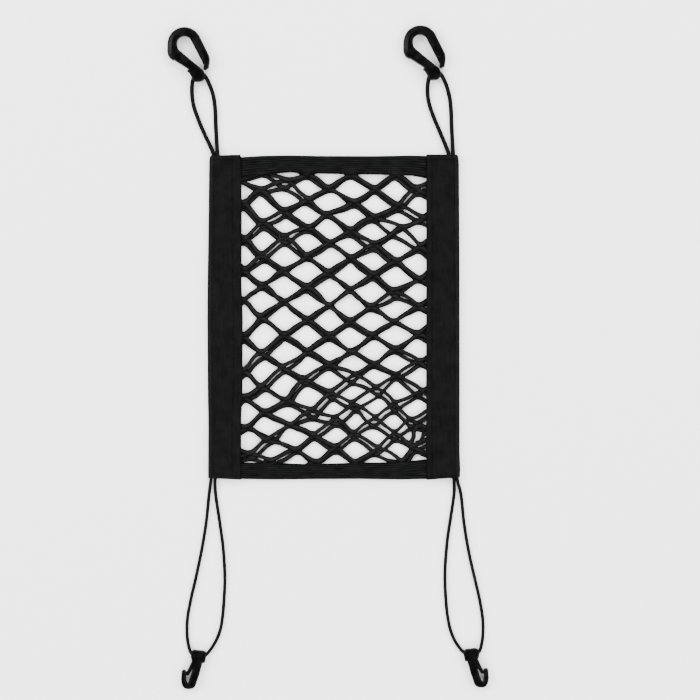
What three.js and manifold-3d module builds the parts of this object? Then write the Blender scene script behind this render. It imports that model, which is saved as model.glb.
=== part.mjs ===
// A pet barrier net for the gap between two car seats, laid out flat on a surface.
//
// Two layers of elastic diamond net are bound all round: a ribbed elastic band is folded over the top and
// the bottom edge, and a wide plain binding is folded over each side and over the ends of the bands.
// An elastic cord loop comes out of each corner and carries a moulded hook.
//
// Millimetres, +Z up. The origin is at the middle of the bound panel, on the surface it lies on. +X is the
// panel's right and +Y its top, seen from above.

import * as THREE from 'three';
import { mergeVertices } from 'three/addons/utils/BufferGeometryUtils.js';
import Module from 'manifold-3d';

const wasm = await Module();
wasm.setup();

// ---- Driving dimensions ----------------------------------------------------------------------------

const CLOTH = 1.0;                  // thickness of one layer of binding, band or net
const GAP = 0.3;                    // air between layers that are sewn together
const HALF_HEIGHT = 151;            // panel, from its middle to the furthest point of a band
const WINDOW = { halfWidth: 86, top: 134, bottom: -136 };   // the part of the net that isn't bound

const NET = {
  column: 20.7,                     // from one column of knots to the next
  halfRow: 13.4,                    // from one row of knots to the next, which stands half a cell over
  firstColumnX: -87,
  firstRowY: 132,
  columns: 10,
  rows: 21,
  crowding: 4,                      // how much nearer to its neighbour the first column stands
  strand: 3,                        // width of one strand
  knot: 3,                          // how far the strands run together beside a knot
  tuck: 11.5,                       // how far the net reaches in under the side bindings
  endGap: 5.8,                      // how far short of the outermost fold of the bands it ends
};

const UPPER_CORD = 3.3;             // diameter
const LOWER_CORD = 2.5;
const CORD_PLAY = 0.9;              // how much wider the channel in a hook's head is than its cord

const SNAP_HOOK = {                 // the large hooks, one on each upper cord
  thickness: 8.6,
  eye: 6.8,                         // radius of the round end of the eye
  outer: 15.8,                      // radius of the arch around it
  armTurn: 27,                      // degrees from +X to where the arm leaves the arch
  bevel: 1.1,
};

const SMALL_HOOK = {                // the small hooks, one on each lower cord
  thickness: 6.4,
  tip: 2.0,                         // radius of the rounded tip
  bevel: 0.8,
};

// Heights of the layers above the surface, from the bottom up.
const NET_BACK_Z = CLOTH + GAP;
const NET_FRONT_Z = NET_BACK_Z + CLOTH + GAP;
const BAND_LEAF_Z = NET_FRONT_Z + CLOTH + GAP;
const BAND_HEIGHT = BAND_LEAF_Z + CLOTH;
const BINDING_HEIGHT = BAND_HEIGHT + GAP + CLOTH;

// The side bindings, from the top down. fold is the folded outer edge and edge the stitched inner one, both
// measured from the middle of the panel. slant is how much further along the stitched edge stands.
const BINDING_LEFT = [
  { along: 149.9, fold: 114.8, edge: 87.0, slant: 0.8 },
  { along: 148.2, fold: 115.4, edge: 86.2, slant: 0.4 },
  { along: 145.0, fold: 115.9, edge: 86.0, slant: 0 },
  { along: 90.0, fold: 116.5, edge: 85.7, slant: 0 },
  { along: 30.0, fold: 117.4, edge: 85.9, slant: 0 },
  { along: 0.0, fold: 117.6, edge: 84.7, slant: 0 },
  { along: -70.0, fold: 117.2, edge: 85.0, slant: 0 },
  { along: -95.0, fold: 116.7, edge: 86.2, slant: 0 },
  { along: -147.0, fold: 116.9, edge: 86.2, slant: -0.6 },
  { along: -149.4, fold: 117.0, edge: 86.2, slant: -1.4 },
];
const BINDING_RIGHT = [
  { along: 150.9, fold: 114.6, edge: 86.0, slant: 0.1 },
  { along: 149.4, fold: 115.6, edge: 85.8, slant: 0 },
  { along: 145.0, fold: 116.3, edge: 85.8, slant: 0 },
  { along: 60.0, fold: 116.8, edge: 86.0, slant: 0 },
  { along: -60.0, fold: 117.0, edge: 85.8, slant: 0 },
  { along: -125.0, fold: 116.9, edge: 85.8, slant: 0 },
  { along: -142.0, fold: 117.6, edge: 86.0, slant: -1.0 },
  { along: -148.6, fold: 117.2, edge: 86.0, slant: -2.4 },
];

// The ribbed bands, from the left to the right. fold is the outer edge and edge the one beside the net.
const BAND_TOP = [
  { along: -85.5, fold: 148.9, edge: 130.0 },
  { along: -68.0, fold: 150.0, edge: 132.2 },
  { along: -42.0, fold: 150.5, edge: 134.6 },
  { along: -10.0, fold: 149.9, edge: 133.4 },
  { along: 40.0, fold: 149.8, edge: 132.6 },
  { along: 72.0, fold: 150.4, edge: 131.6 },
  { along: 85.3, fold: 150.0, edge: 129.4 },
];
const BAND_BOTTOM = [
  { along: -85.5, fold: 150.4, edge: 135.2 },
  { along: -55.0, fold: 151.0, edge: 135.4 },
  { along: -25.0, fold: 150.6, edge: 136.6 },
  { along: 25.0, fold: 150.4, edge: 135.2 },
  { along: 62.0, fold: 151.0, edge: 134.8 },
  { along: 85.3, fold: 150.4, edge: 132.0 },
];
const BAND_END = 98;                // where the bands' upper leaves end, under the side bindings
const LEAF_OVERLAP = 0.3;           // how far such an end runs back over the first stretch of the band

// Where the net is pulled out of its even pitch: each row moves the knots within reach of x, y.
const TUGS = [
  { x: -75, y: 100, reach: 22, dx: 0, dy: 6 },
  { x: -85, y: 50, reach: 28, dx: 0, dy: -5 },
  { x: -65, y: -45, reach: 20, dx: 0, dy: -3 },
  { x: -87, y: -70, reach: 15, dx: 0, dy: 5 },
  { x: -25, y: -136, reach: 45, dx: 7, dy: 0 },
  { x: -65, y: -115, reach: 25, dx: 7, dy: 1 },
  { x: -25, y: -80, reach: 14, dx: 2, dy: -4 },
  { x: -5, y: -95, reach: 22, dx: 4, dy: 2 },
  { x: 40, y: -65, reach: 20, dx: 4, dy: 3 },
  { x: 10, y: -10, reach: 35, dx: 0, dy: -2.5 },
  { x: 58, y: 104, reach: 18, dx: 4, dy: -4 },
  { x: 79, y: 92, reach: 14, dx: 6, dy: 1 },
  { x: 82, y: 42, reach: 26, dx: 1, dy: -4 },
  { x: 60, y: -136, reach: 30, dx: 6, dy: 0 },
  { x: 80, y: -95, reach: 18, dx: -8, dy: -3 },
  { x: 84, y: -124, reach: 14, dx: -7, dy: 1 },
  { x: 76, y: 120, reach: 14, dx: -7, dy: 0 },
  { x: 8, y: 45, reach: 22, dx: 0, dy: 2 },
  { x: -85, y: 119, reach: 14, dx: -5, dy: 2 },
  { x: -46, y: 119, reach: 14, dx: 1.5, dy: 4 },
  { x: -66, y: 105, reach: 12, dx: -1.5, dy: 3 },
  { x: -46, y: 65, reach: 12, dx: 1.5, dy: 3 },
  { x: -4, y: 92, reach: 12, dx: -3, dy: 1.5 },
  { x: 16, y: 105, reach: 12, dx: 3, dy: -1.5 },
  { x: 58, y: 78, reach: 12, dx: 3, dy: 4.5 },
  { x: 38, y: 8, reach: 34, dx: -2.5, dy: -2 },
  { x: -68, y: 12, reach: 24, dx: -1.5, dy: 2 },
  { x: -66, y: -109, reach: 12, dx: 4.5, dy: 3.5 },
  { x: -46, y: -69, reach: 12, dx: 2, dy: -4.5 },
  { x: -25, y: -56, reach: 12, dx: -3, dy: 0 },
  { x: 58, y: -109, reach: 12, dx: -4, dy: 0 },
];

// Where the two layers have slipped apart: dx and dy are how far the back layer lies from the front one.
const SLIP_EVERYWHERE = { dx: 0, dy: -2 };
const SLIPS = [
  { x: -62, y: 76, reach: 30, dx: 2, dy: -5 },
  { x: -41, y: 116, reach: 16, dx: -5, dy: -3 },
  { x: 56, y: 80, reach: 20, dx: -4, dy: -2 },
  { x: 82, y: 90, reach: 20, dx: -1, dy: -4 },
  { x: -62, y: -50, reach: 28, dx: 5, dy: -1 },
  { x: -14, y: -68, reach: 24, dx: 4, dy: -4 },
  { x: -72, y: -122, reach: 20, dx: 3, dy: -2 },
  { x: 20, y: -90, reach: 30, dx: 2, dy: -6 },
  { x: 66, y: -92, reach: 30, dx: 1, dy: -6 },
];

// The cords' routes, from where one end is caught in the binding, round through the hook's head, to where
// the other end is caught beside it.
const CORD_TOP_LEFT = [
  [-111.5, 143.0, 3.1], [-111.4, 147.2, 3.1], [-111.9, 151.6, 2.9], [-114.6, 158.2, 2.1],
  [-119.6, 168.9, 1.7], [-125.8, 183.3, 1.7], [-130.5, 197.3, 1.7], [-132.0, 209.7, 2.3],
  [-131.3, 218.2, 3.7], [-129.0, 224.4, 4.3], [-124.6, 227.3, 4.3], [-119.9, 224.0, 4.3],
  [-115.6, 216.2, 3.4], [-112.0, 205.4, 2.0], [-110.3, 192.6, 1.7], [-109.7, 176.8, 1.7],
  [-108.9, 162.0, 1.9], [-108.3, 153.6, 2.9], [-107.8, 147.4, 3.1], [-107.8, 143.0, 3.1],
];
const CORD_TOP_RIGHT = [
  [107.4, 143.0, 3.1], [107.3, 147.2, 3.1], [106.7, 151.6, 3.0], [104.3, 158.6, 2.1],
  [99.2, 170.8, 1.7], [92.8, 186.1, 1.7], [88.2, 200.1, 1.7], [87.0, 211.7, 2.3],
  [87.8, 219.8, 3.7], [90.1, 226.0, 4.3], [94.5, 228.9, 4.3], [99.2, 225.6, 4.3],
  [103.6, 217.8, 3.4], [107.5, 205.0, 2.0], [108.9, 192.6, 1.7], [109.5, 176.8, 1.7],
  [110.3, 162.0, 1.9], [110.8, 153.6, 3.0], [111.0, 147.4, 3.1], [111.0, 143.0, 3.1],
];
const CORD_BOTTOM_LEFT = [
  [-114.1, -142.5, 3.1], [-114.1, -147.4, 3.1], [-114.4, -152.2, 2.8], [-115.8, -162.3, 1.6],
  [-118.7, -190.5, 1.3], [-122.6, -214.7, 1.3], [-128.4, -242.6, 1.3], [-132.8, -261.6, 1.3],
  [-136.1, -279.8, 1.3], [-136.6, -291.9, 1.4], [-135.6, -303.0, 2.0], [-132.3, -312.6, 3.0],
  [-125.6, -317.6, 3.2], [-118.3, -313.2, 3.0], [-110.9, -303.2, 2.0], [-106.0, -291.9, 1.4],
  [-103.7, -279.8, 1.3], [-102.1, -261.6, 1.3], [-101.4, -241.7, 1.3], [-103.0, -214.7, 1.3],
  [-106.2, -190.5, 1.3], [-110.0, -164.1, 1.6], [-110.6, -152.2, 2.8], [-110.4, -147.4, 3.1],
  [-110.4, -142.5, 3.1],
];
const CORD_BOTTOM_RIGHT = [
  [111.3, -142.0, 3.1], [111.3, -147.0, 3.1], [111.6, -152.2, 2.8], [111.8, -163.1, 1.6],
  [109.2, -182.7, 1.3], [105.7, -205.8, 1.3], [103.6, -230.5, 1.3], [103.3, -244.5, 1.3],
  [104.2, -263.1, 1.3], [106.0, -279.8, 1.3], [109.4, -293.8, 1.4], [114.9, -304.8, 2.0],
  [122.0, -312.6, 3.0], [129.1, -315.6, 3.2], [135.3, -310.2, 3.0], [137.6, -302.9, 2.0],
  [138.7, -292.2, 1.4], [138.3, -279.8, 1.3], [135.3, -261.6, 1.3], [130.9, -242.6, 1.3],
  [125.3, -217.5, 1.3], [120.9, -190.5, 1.3], [117.9, -163.1, 1.6], [115.2, -153.4, 2.8],
  [114.3, -147.0, 3.1], [114.3, -142.0, 3.1],
];
const CORD_SIDES = 8;
const CHANNEL_SIDES = 12;
const CORD_STEP = 3.4;              // from one cross-section of a cord to the next, or more on a long cord
const MOST_STEPS = 78;

// ---- Materials -------------------------------------------------------------------------------------

const MATERIALS = {
  binding: { color: 0x1c1c1b, roughness: 0.85, metalness: 0 },
  band: { color: 0x1a1b1b, roughness: 0.8, metalness: 0 },
  net: { color: 0x191919, roughness: 0.8, metalness: 0 },
  cord: { color: 0x111111, roughness: 0.7, metalness: 0 },
  plastic: { color: 0x131313, roughness: 0.45, metalness: 0 },
};

function piece(name, geometry, look) {
  const mesh = new THREE.Mesh(geometry, new THREE.MeshStandardMaterial(MATERIALS[look]));
  mesh.name = name;
  return mesh;
}

// ---- Solids ----------------------------------------------------------------------------------------

function welded(geometry) {
  const plain = geometry.clone();
  plain.deleteAttribute('normal');
  plain.deleteAttribute('uv');
  return mergeVertices(plain, 1e-4);
}

function solidOf(geometry) {
  const closed = welded(geometry);
  return new wasm.Manifold(new wasm.Mesh({
    numProp: 3,
    vertProperties: new Float32Array(closed.attributes.position.array),
    triVerts: new Uint32Array(closed.index.array),
  }));
}

function geometryOf(solid) {
  const mesh = solid.getMesh();
  const geometry = new THREE.BufferGeometry();
  geometry.setAttribute('position', new THREE.BufferAttribute(new Float32Array(mesh.vertProperties), 3));
  geometry.setIndex(new THREE.BufferAttribute(new Uint32Array(mesh.triVerts), 1));
  geometry.computeVertexNormals();
  return geometry;
}

// A closed mesh from its corners and triangles, turned to face outwards.
function closedGeometry(corners, triangles) {
  const a = new THREE.Vector3();
  let volume = 0;
  for (const [i, j, k] of triangles) {
    volume += a.crossVectors(corners[j], corners[k]).dot(corners[i]);
  }
  const facing = volume > 0 ? triangles : triangles.map(([i, j, k]) => [i, k, j]);
  const geometry = new THREE.BufferGeometry().setFromPoints(corners);
  geometry.setIndex(facing.flat());
  geometry.computeVertexNormals();
  return geometry;
}

// A solid through sections that all have the same number of corners, with flat ends.
function lofted(sections, flatSection) {
  const size = flatSection.length;
  const corners = sections.flat();
  const last = (sections.length - 1) * size;
  const triangles = [];
  for (let s = 0; s < sections.length - 1; s++) {
    for (let i = 0; i < size; i++) {
      const next = (i + 1) % size;
      const [a, b] = [s * size + i, s * size + next];
      triangles.push([a, b, b + size], [a, b + size, a + size]);
    }
  }
  for (const [i, j, k] of THREE.ShapeUtils.triangulateShape(flatSection, [])) {
    triangles.push([i, k, j], [last + i, last + j, last + k]);
  }
  return closedGeometry(corners, triangles);
}

// ---- Bindings and bands ----------------------------------------------------------------------------

const FOLD_STEPS = 4;

// The section of a strip folded in half: across runs out from the stitched edge to the fold.
function foldedSection({ fold, edge }, height) {
  const outer = height / 2;
  const centre = fold - outer;
  const turn = (radius, way) => {
    const points = [];
    for (let i = 0; i <= FOLD_STEPS; i++) {
      const angle = way * Math.PI * (i / FOLD_STEPS - 0.5);
      points.push(new THREE.Vector2(centre + radius * Math.cos(angle), outer + radius * Math.sin(angle)));
    }
    return points;
  };
  return [
    new THREE.Vector2(edge, 0),
    ...turn(outer, 1),
    new THREE.Vector2(edge, height),
    new THREE.Vector2(edge, height - CLOTH),
    ...turn(outer - CLOTH, -1),
    new THREE.Vector2(edge, CLOTH),
  ];
}

// place turns (along, across, up) into a point of the panel.
function foldedStrip(rows, height, place) {
  const flat = rows.map((row) => foldedSection(row, height));
  const sections = rows.map(({ along, fold, edge, slant = 0 }, i) => flat[i].map(
    (p) => place(along + slant * (fold - p.x) / (fold - edge), p.x, p.y),
  ));
  return lofted(sections, flat[0]);
}

function sideBinding(rows, side) {
  const place = (along, across, up) => new THREE.Vector3(side * across, along, up);
  return foldedStrip(rows, BINDING_HEIGHT, place);
}

// A band is folded like a binding, and only its upper leaf runs on under the side bindings.
function ribbedBand(rows, side) {
  const place = (along, across, up) => new THREE.Vector3(along, side * across, up);
  let solid = solidOf(foldedStrip(rows, BAND_HEIGHT, place));
  const ends = [[rows[0], rows[1]], [rows.at(-1), rows.at(-2)]];
  for (const [end, inner] of ends) {
    const leaf = [
      { along: Math.sign(end.along) * BAND_END, row: end },
      { along: end.along, row: end },
      { along: THREE.MathUtils.lerp(end.along, inner.along, LEAF_OVERLAP), row: inner, blend: LEAF_OVERLAP },
    ].map(({ along, row, blend = 0 }) => {
      const fold = THREE.MathUtils.lerp(end.fold, row.fold, blend) - BAND_HEIGHT / 2;
      const edge = THREE.MathUtils.lerp(end.edge, row.edge, blend);
      return { along, fold, edge };
    });
    const flat = leaf.map(({ fold, edge }) => [
      new THREE.Vector2(edge, BAND_LEAF_Z),
      new THREE.Vector2(fold, BAND_LEAF_Z),
      new THREE.Vector2(fold, BAND_HEIGHT),
      new THREE.Vector2(edge, BAND_HEIGHT),
    ]);
    const sections = flat.map((section, i) => section.map((p) => place(leaf[i].along, p.x, p.y)));
    solid = solid.add(solidOf(lofted(sections, flat[0])));
  }
  return geometryOf(solid);
}

// ---- Net -------------------------------------------------------------------------------------------

function pull(table, x, y) {
  const sum = new THREE.Vector2();
  for (const { x: cx, y: cy, reach, dx, dy } of table) {
    const weight = Math.exp(-((x - cx) ** 2 + (y - cy) ** 2) / reach ** 2);
    sum.x += weight * dx;
    sum.y += weight * dy;
  }
  return sum;
}

// The left edge of the net is stretched upwards in its upper half and downwards in its lower half.
const EDGE_STRETCH = 11;
const EDGE_FADE = 60;

// side is -0.5 for the front layer and 0.5 for the back one.
function knotAt(column, row, side) {
  const x = NET.firstColumnX + column * NET.column + (column < 1 ? NET.crowding : 0);
  const y = NET.firstRowY - row * NET.halfRow;
  const fade = Math.exp(-(x - NET.firstColumnX) / EDGE_FADE);
  const stretch = EDGE_STRETCH * fade * Math.sin((2 * Math.PI * row) / (NET.rows - 1));
  const tug = pull(TUGS, x, y);
  const slip = pull(SLIPS, x, y);
  return new THREE.Vector2(
    x + tug.x + side * (slip.x + SLIP_EVERYWHERE.dx),
    y + stretch + tug.y + side * (slip.y + SLIP_EVERYWHERE.dy),
  );
}

// The opening of one cell: its four sides moved in by half a strand, with the two sharp ends cut off.
function cellOpening(left, top, right, bottom) {
  const knots = [left, top, right, bottom];
  const centre = left.clone().add(top).add(right).add(bottom).multiplyScalar(0.25);
  const sides = knots.map((from, i) => {
    const to = knots[(i + 1) % 4];
    const normal = new THREE.Vector2(to.y - from.y, from.x - to.x).normalize();
    if (normal.dot(centre.clone().sub(from)) < 0) {
      normal.negate();
    }
    return { normal, distance: normal.dot(from) + NET.strand / 2 };
  });
  const corner = (a, b) => {
    const det = a.normal.x * b.normal.y - a.normal.y * b.normal.x;
    return new THREE.Vector2(
      (a.distance * b.normal.y - b.distance * a.normal.y) / det,
      (a.normal.x * b.distance - b.normal.x * a.distance) / det,
    );
  };
  const [west, north, east, south] = [3, 0, 1, 2].map((i) => corner(sides[i], sides[(i + 1) % 4]));
  const cut = (sharp, blunt) => sharp.clone().lerp(blunt, NET.knot / sharp.distanceTo(blunt));
  return [cut(west, south), cut(west, north), north, cut(east, north), cut(east, south), south];
}

// What is left of a convex outline on the inner side of a line.
function clipped(outline, inside, crossing) {
  const kept = [];
  outline.forEach((point, i) => {
    const next = outline[(i + 1) % outline.length];
    if (inside(point)) {
      kept.push(point);
    }
    if (inside(point) !== inside(next)) {
      kept.push(crossing(point, next));
    }
  });
  return kept;
}

function withinBox(outline, box) {
  const limits = [
    { axis: 'x', at: box.left, sign: 1 },
    { axis: 'x', at: box.right, sign: -1 },
    { axis: 'y', at: box.bottom, sign: 1 },
    { axis: 'y', at: box.top, sign: -1 },
  ];
  return limits.reduce((kept, { axis, at, sign }) => clipped(
    kept,
    (p) => sign * (p[axis] - at) > 0,
    (p, q) => p.clone().lerp(q, (at - p[axis]) / (q[axis] - p[axis])),
  ), outline);
}

const SMALLEST_OPENING = 12;        // square millimetres: smaller corners of a cell stay closed
const NET_BORDER = 1.5;             // how far the openings run on under the bindings

// Every opening of one layer. The last rows and columns are cut short where the bindings cover them.
function netOpenings(side) {
  const box = {
    left: -WINDOW.halfWidth - NET_BORDER,
    right: WINDOW.halfWidth + NET_BORDER,
    bottom: WINDOW.bottom - NET_BORDER,
    top: WINDOW.top + NET_BORDER,
  };
  const openings = [];
  for (let row = -1; row <= NET.rows; row++) {
    for (let column = 0; column < NET.columns; column++) {
      if ((column + row) % 2 !== 0) {
        continue;
      }
      const opening = withinBox(cellOpening(
        knotAt(column - 1, row, side),
        knotAt(column, row - 1, side),
        knotAt(column + 1, row, side),
        knotAt(column, row + 1, side),
      ), box);
      if (opening.length > 2 && Math.abs(THREE.ShapeUtils.area(opening)) > SMALLEST_OPENING) {
        openings.push(opening);
      }
    }
  }
  return openings;
}

function netLayer(side) {
  const reachX = WINDOW.halfWidth + NET.tuck;
  const reachY = HALF_HEIGHT - NET.endGap;
  const sheet = new THREE.BoxGeometry(2 * reachX, 2 * reachY, CLOTH).translate(0, 0, CLOTH / 2);
  const cutters = netOpenings(side).map((opening) => {
    const outline = new THREE.Shape(opening);
    const prism = new THREE.ExtrudeGeometry(outline, { depth: 3 * CLOTH, bevelEnabled: false });
    return solidOf(prism.translate(0, 0, -CLOTH));
  });
  return geometryOf(cutters.reduce((layer, cutter) => layer.subtract(cutter), solidOf(sheet)));
}

// ---- Cords -----------------------------------------------------------------------------------------

// The same route gives the same bends whatever the diameter, so a channel follows its cord.
function tubeAlong(route, diameter, sides) {
  const curve = new THREE.CatmullRomCurve3(route.map((p) => new THREE.Vector3(...p)), false, 'centripetal');
  const circle = new THREE.Shape();
  for (let i = 0; i < sides; i++) {
    const angle = (2 * Math.PI * i) / sides;
    const [x, y] = [Math.cos(angle) * diameter / 2, Math.sin(angle) * diameter / 2];
    if (i === 0) {
      circle.moveTo(x, y);
    } else {
      circle.lineTo(x, y);
    }
  }
  circle.closePath();
  return new THREE.ExtrudeGeometry(circle, {
    steps: Math.min(MOST_STEPS, Math.round(curve.getLength() / CORD_STEP)),
    extrudePath: curve,
    bevelEnabled: false,
  });
}

function cord(route, diameter) {
  return tubeAlong(route, diameter, CORD_SIDES);
}

// ---- Hooks -----------------------------------------------------------------------------------------

// A plate of the outline's shape with chamfered edges, lying on the surface.
function moulding(outline, thickness, bevel) {
  const plate = new THREE.ExtrudeGeometry(outline, {
    depth: thickness - 2 * bevel,
    bevelThickness: bevel,
    bevelSize: bevel,
    bevelOffset: -bevel,
    bevelSegments: 1,
    curveSegments: 12,
  });
  return plate.translate(0, 0, bevel);
}

const degrees = THREE.MathUtils.degToRad;

// The large hook about the middle of its eye: an arch, a springy arm down to a free tip, and a jaw down to
// the head. The tip all but closes on the head.
function snapHookOutline() {
  const { eye, outer, armTurn } = SNAP_HOOK;
  const arm = degrees(armTurn);
  const outline = new THREE.Shape();
  outline.moveTo(-15.5, 0.4);       // back
  outline.lineTo(-15.6, -7.0);
  outline.lineTo(-14.9, -10.8);
  outline.lineTo(-13.2, -13.2);
  outline.lineTo(-10.4, -15.2);     // lower corner of the back, and the step to the jaw
  outline.lineTo(-9.2, -14.9);
  outline.lineTo(3.2, -23.0);
  outline.lineTo(4.4, -24.0);       // notch above the collar
  outline.lineTo(2.3, -25.0);       // collar
  outline.lineTo(4.7, -27.0);
  outline.lineTo(7.0, -31.0);
  outline.quadraticCurveTo(7.9, -35.0, 11.9, -35.0);   // rounded foot of the head
  outline.quadraticCurveTo(16.9, -35.1, 18.8, -31.8);
  outline.lineTo(20.2, -29.3);
  outline.lineTo(19.4, -27.2);
  outline.lineTo(17.8, -24.4);      // where the tip closes on the head
  outline.lineTo(-4.5, -5.8);
  outline.lineTo(-5.7, -4.3);
  outline.lineTo(-6.5, -1.8);
  outline.absarc(0.1, 0.7, eye, Math.PI, arm, true);
  outline.lineTo(18.2, -19.4);
  outline.lineTo(18.0, -22.4);
  outline.lineTo(18.4, -23.8);      // free tip, cut off bluntly
  outline.lineTo(19.6, -24.2);
  outline.lineTo(22.8, -22.4);
  outline.lineTo(24.0, -15.2);
  outline.lineTo(23.4, -10.9);
  outline.absarc(0.4, -0.1, outer, arm, degrees(178), false);
  return outline;
}

// The small hook about the middle of its head: a shank, a bend up to a rounded tip, and a spring tongue from
// the head down to the inside of the tip.
function smallHookOutline() {
  const { tip } = SMALL_HOOK;
  const outline = new THREE.Shape();
  outline.moveTo(-4.4, 7.2);
  outline.lineTo(-7.4, 5.2);        // head, where the cord goes in
  outline.lineTo(-7.3, -1.0);
  outline.lineTo(-6.2, -2.6);
  outline.lineTo(-8.2, -7.0);       // outer side of the tongue
  outline.lineTo(-11.3, -13.4);
  outline.lineTo(-11.3, -16.6);     // blunt end of the tongue, beside the tip
  outline.lineTo(-9.2, -16.6);
  outline.lineTo(-6.4, -11.4);      // root of the slit between tongue and shank
  outline.lineTo(-5.8, -12.0);
  outline.lineTo(-9.2, -22.2);
  outline.lineTo(-10.5, -24.4);     // bottom of the bend, inside
  outline.lineTo(-11.9, -21.4);
  outline.lineTo(-11.9, -13.6);
  outline.absarc(-11.9 - tip, -13.4, tip, 0, Math.PI, false);
  outline.lineTo(-16.5, -20.5);
  outline.lineTo(-15.8, -24.6);
  outline.quadraticCurveTo(-14.4, -29.4, -10.0, -29.5);
  outline.quadraticCurveTo(-4.6, -29.4, -3.0, -26.4);
  outline.lineTo(0.6, -15.8);
  outline.lineTo(3.0, -6.8);
  outline.lineTo(3.6, -5.0);
  outline.lineTo(5.6, -5.2);        // ledge under the head
  outline.lineTo(7.0, 0.6);
  outline.lineTo(7.4, 3.3);
  outline.lineTo(5.2, 6.1);
  outline.closePath();
  return outline;
}

// A hook set down at (x, y), with the channel through its head cut along the cord that it hangs on.
function hook(outline, size, [x, y], route, diameter, mirrored = false) {
  let solid = solidOf(moulding(outline, size.thickness, size.bevel));
  if (mirrored) {
    solid = solid.mirror([1, 0, 0]);
  }
  const channel = solidOf(tubeAlong(route, diameter + CORD_PLAY, CHANNEL_SIDES));
  return geometryOf(solid.translate([x, y, 0]).subtract(channel));
}

const SNAP_HOOK_LEFT = [-139, 253.5];
const SNAP_HOOK_RIGHT = [80, 255];
const SMALL_HOOK_LEFT = [-125.5, -316];
const SMALL_HOOK_RIGHT = [127.5, -314.5];

// ---- The part --------------------------------------------------------------------------------------

const net = new THREE.Group();

net.add(piece('binding_left', sideBinding(BINDING_LEFT, -1), 'binding'));
net.add(piece('binding_right', sideBinding(BINDING_RIGHT, 1), 'binding'));
net.add(piece('band_top', ribbedBand(BAND_TOP, 1), 'band'));
net.add(piece('band_bottom', ribbedBand(BAND_BOTTOM, -1), 'band'));

for (const [name, side, z] of [['net_front', -0.5, NET_FRONT_Z], ['net_back', 0.5, NET_BACK_Z]]) {
  const layer = piece(name, netLayer(side), 'net');
  layer.position.z = z;
  net.add(layer);
}

net.add(piece('cord_top_left', cord(CORD_TOP_LEFT, UPPER_CORD), 'cord'));
net.add(piece('cord_top_right', cord(CORD_TOP_RIGHT, UPPER_CORD), 'cord'));
net.add(piece('cord_bottom_left', cord(CORD_BOTTOM_LEFT, LOWER_CORD), 'cord'));
net.add(piece('cord_bottom_right', cord(CORD_BOTTOM_RIGHT, LOWER_CORD), 'cord'));

const snapOutline = snapHookOutline();
const smallOutline = smallHookOutline();
const hooks = {
  hook_top_left: hook(snapOutline, SNAP_HOOK, SNAP_HOOK_LEFT, CORD_TOP_LEFT, UPPER_CORD),
  hook_top_right: hook(snapOutline, SNAP_HOOK, SNAP_HOOK_RIGHT, CORD_TOP_RIGHT, UPPER_CORD),
  hook_bottom_left: hook(smallOutline, SMALL_HOOK, SMALL_HOOK_LEFT, CORD_BOTTOM_LEFT, LOWER_CORD),
  hook_bottom_right: hook(smallOutline, SMALL_HOOK, SMALL_HOOK_RIGHT, CORD_BOTTOM_RIGHT, LOWER_CORD, true),
};
for (const [name, geometry] of Object.entries(hooks)) {
  net.add(piece(name, geometry, 'plastic'));
}

export default net;
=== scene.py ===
# The looks of a pet barrier net, laid flat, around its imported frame.
#
# Lengths are worked out in millimetres and turned into metres when a mesh is made. +X is the panel's right,
# +Y its top and +Z up, with the origin at the middle of the panel on the surface that it lies on.

import math
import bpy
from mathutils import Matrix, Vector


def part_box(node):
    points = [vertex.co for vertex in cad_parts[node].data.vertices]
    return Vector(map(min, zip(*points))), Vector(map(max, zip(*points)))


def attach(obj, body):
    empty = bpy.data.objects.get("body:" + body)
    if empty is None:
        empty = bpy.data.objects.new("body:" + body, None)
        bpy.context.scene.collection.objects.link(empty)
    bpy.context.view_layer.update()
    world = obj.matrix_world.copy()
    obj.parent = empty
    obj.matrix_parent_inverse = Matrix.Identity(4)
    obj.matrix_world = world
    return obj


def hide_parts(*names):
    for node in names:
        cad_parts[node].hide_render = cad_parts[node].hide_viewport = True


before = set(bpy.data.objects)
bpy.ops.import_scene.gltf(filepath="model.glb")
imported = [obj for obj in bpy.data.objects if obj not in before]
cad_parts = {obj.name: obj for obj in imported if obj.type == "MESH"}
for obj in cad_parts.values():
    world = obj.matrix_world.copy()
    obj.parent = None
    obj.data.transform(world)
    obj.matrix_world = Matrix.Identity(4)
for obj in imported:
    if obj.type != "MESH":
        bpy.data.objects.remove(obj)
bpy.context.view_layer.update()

from types import SimpleNamespace as Sizes

import bpy
import numpy as np
from mathutils import Vector, noise
from mathutils.kdtree import KDTree

MM = 0.001

# ---- Driving dimensions, in millimetres ----

CAMERA_AIM = (15, -30.5)  # what the camera stands over
CAMERA_HEIGHT = 1810
CAMERA_LENS = 100
FLOOR_SIZE = 24000
FLOOR_GREY = 0.93
SKY = 0.5  # strength of the even light from all round
SOFTBOX_SIZE = 2.2  # metres
# name, x, y, z in metres, power
SOFTBOXES = [
    ("softbox_left", -2.6, 0.7, 2.0, 250),
    ("softbox_right", 2.6, 0.1, 2.0, 175),
    ("softbox_top", 0.3, 2.6, 2.0, 195),
    ("softbox_front", 0.0, -2.6, 2.0, 155),
]

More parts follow.
